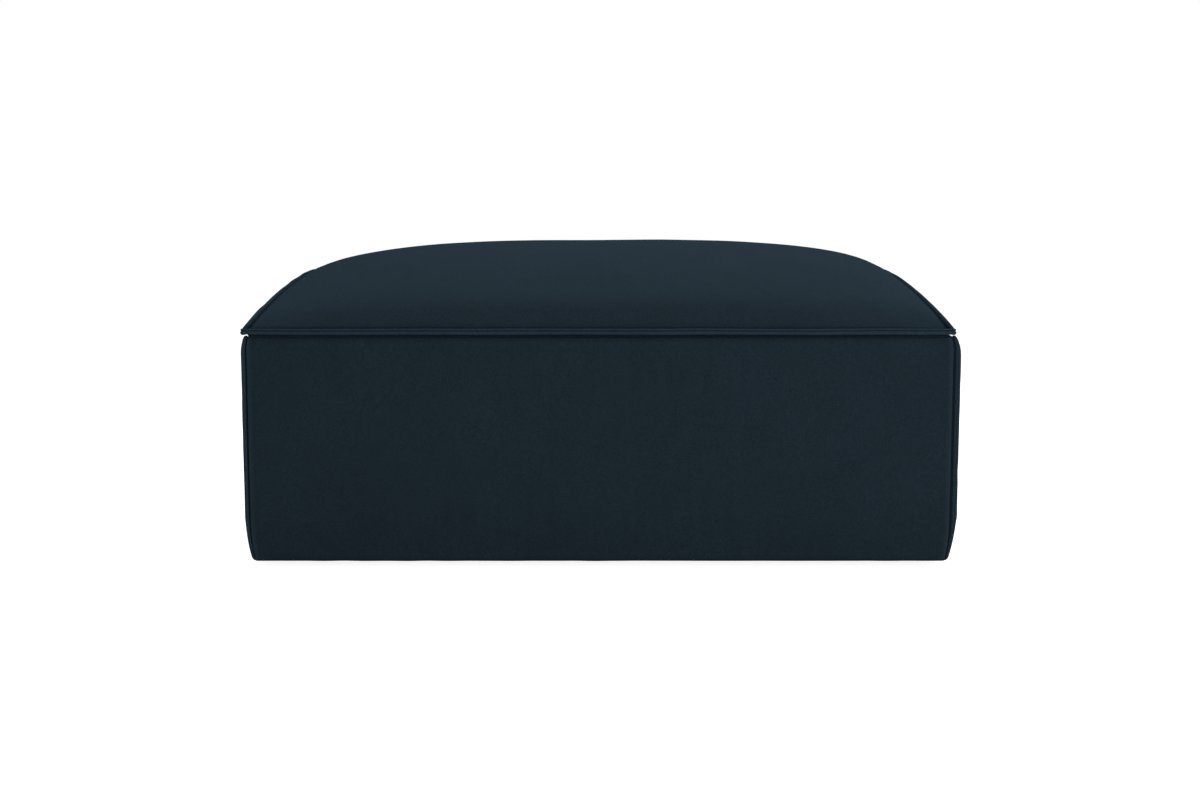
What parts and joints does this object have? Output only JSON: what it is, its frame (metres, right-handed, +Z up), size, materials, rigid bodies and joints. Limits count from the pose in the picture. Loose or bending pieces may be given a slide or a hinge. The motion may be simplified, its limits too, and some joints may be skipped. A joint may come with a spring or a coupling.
{
  "type": "footstool",
  "caption": "Low upholstered footstool: a velvet-covered spring base with flanged corner seams and a loose crowned cushion with arched end seams.",
  "frame": {"origin": "on the floor, under the middle of the footprint", "axes": "+X to the right along the long side, +Y to the rear (the front faces -Y), +Z up"},
  "size_m": [1.03, 0.83, 0.458],
  "materials": {
    "velvet": "matte",
    "deck_lining": "matte",
    "nonwoven": "matte",
    "foam": "matte",
    "wadding": "matte",
    "felt": "matte",
    "pine": "matte",
    "hardboard": "matte",
    "spring_steel": "satin",
    "screw_steel": "satin",
    "glide_plastic": "satin",
    "zip_tape": "matte",
    "zip_nylon": "satin",
    "zip_metal": "satin"
  },
  "bodies": {
    "base": {"front_bottom_rail": "pine", "rear_bottom_rail": "pine", "left_bottom_rail": "pine", "right_bottom_rail": "pine", "front_top_rail": "pine", "rear_top_rail": "pine", "left_top_rail": "pine", "right_top_rail": "pine", "corner_posts": "pine", "studs": "pine", "centre_stretcher": "pine", "corner_blocks": "pine", "edge_strips": "pine", "front_board": "hardboard", "rear_board": "hardboard", "left_board": "hardboard", "right_board": "hardboard", "springs": "spring_steel", "spring_clips": "spring_steel", "spring_ties": "spring_steel", "spring_felt": "felt", "deck_foam": "foam", "front_pad": "foam", "rear_pad": "foam", "left_pad": "foam", "right_pad": "foam", "front_cover": "velvet", "rear_cover": "velvet", "left_cover": "velvet", "right_cover": "velvet", "front_left_flange": "velvet", "front_right_flange": "velvet", "rear_left_flange": "velvet", "rear_right_flange": "velvet", "deck_border": "velvet", "deck_cloth": "deck_lining", "dust_cover": "nonwoven", "glides": "glide_plastic", "glide_screws": "screw_steel"},
    "seat_cushion": {"cushion_core": "foam", "cushion_wadding": "wadding", "cushion_under_wadding": "wadding", "cushion_top_cover": "velvet", "cushion_left_end": "velvet", "cushion_right_end": "velvet", "cushion_bottom_cover": "velvet", "cushion_flange": "velvet", "left_arch_flange": "velvet", "right_arch_flange": "velvet", "zip_tapes": "zip_tape", "zip_teeth": "zip_nylon"},
    "zip_slider": {"zip_slider": "zip_metal"}
  },
  "joints": [
    {"name": "cushion_lift", "type": "slide", "parent": "base", "child": "seat_cushion", "axis": [0, 0, 1], "range_m": [0, 0.35]},
    {"name": "zip_travel", "type": "slide", "parent": "seat_cushion", "child": "zip_slider", "axis": [1, 0, 0], "range_m": [0, 0.74]}
  ]
}
